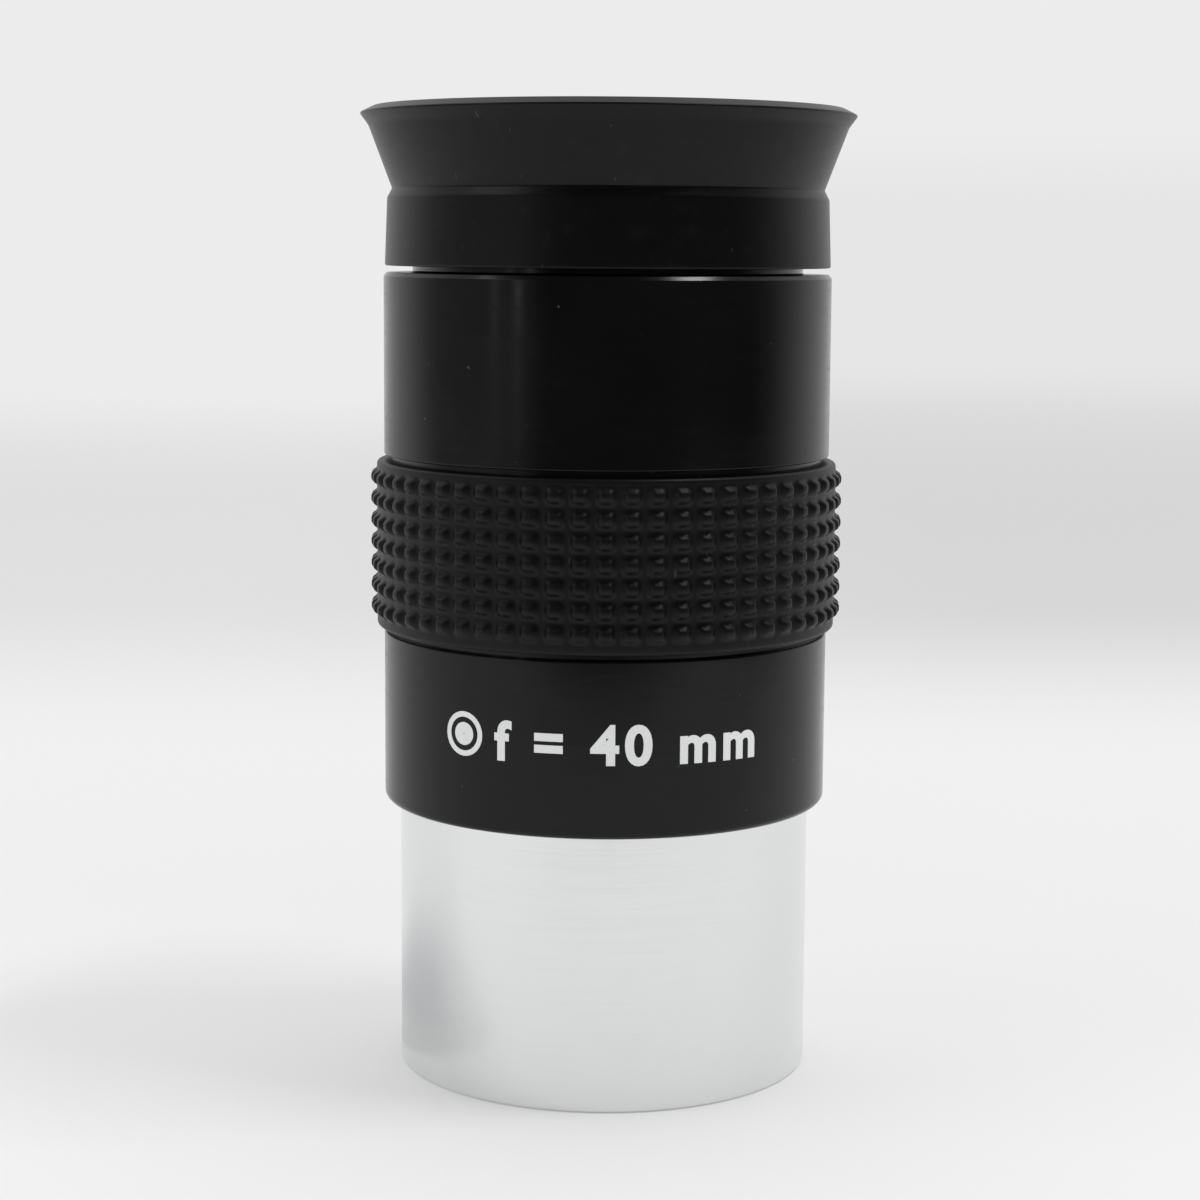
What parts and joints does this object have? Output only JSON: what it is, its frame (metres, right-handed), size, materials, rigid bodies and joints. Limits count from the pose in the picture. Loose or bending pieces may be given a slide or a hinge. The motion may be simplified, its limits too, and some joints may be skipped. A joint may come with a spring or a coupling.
{
  "type": "telescope eyepiece",
  "caption": "Push-fit telescope eyepiece: chromed barrel, black body with a studded rubber grip band, lens cell with two doublets, and a flared rubber eyecup that folds down.",
  "frame": {"origin": "centre of the barrel's lower rim, the bottom centre of the bounding box", "axes": "+Z along the optical axis from the barrel's mouth towards the observer's eye; the printed side faces -Y"},
  "size_m": [0.0378, 0.0378, 0.0737],
  "materials": {
    "chrome": "satin",
    "body_black": "gloss",
    "black_metal": "matte",
    "rubber": "matte",
    "glass": "polished",
    "print_white": "satin"
  },
  "bodies": {
    "housing": {"barrel": "chrome", "field_stop": "black_metal", "body_tube": "body_black", "grip_band": "rubber", "eyecup_collar": "rubber", "eyecup_flare": "rubber", "lens_cell": "black_metal", "eye_lens_flint": "glass", "eye_lens_crown": "glass", "lens_spacer": "black_metal", "field_lens_crown": "glass", "field_lens_flint": "glass", "lens_retainer": "black_metal", "cell_retainer": "black_metal"},
    "folding_lip": {"eyecup_lip": "rubber"}
  },
  "joints": [
    {"name": "eyecup_fold", "type": "slide", "parent": "housing", "child": "folding_lip", "axis": [0, 0, -1], "range_m": [0, 0.0105], "deforming": ["eyecup_flare"]}
  ]
}
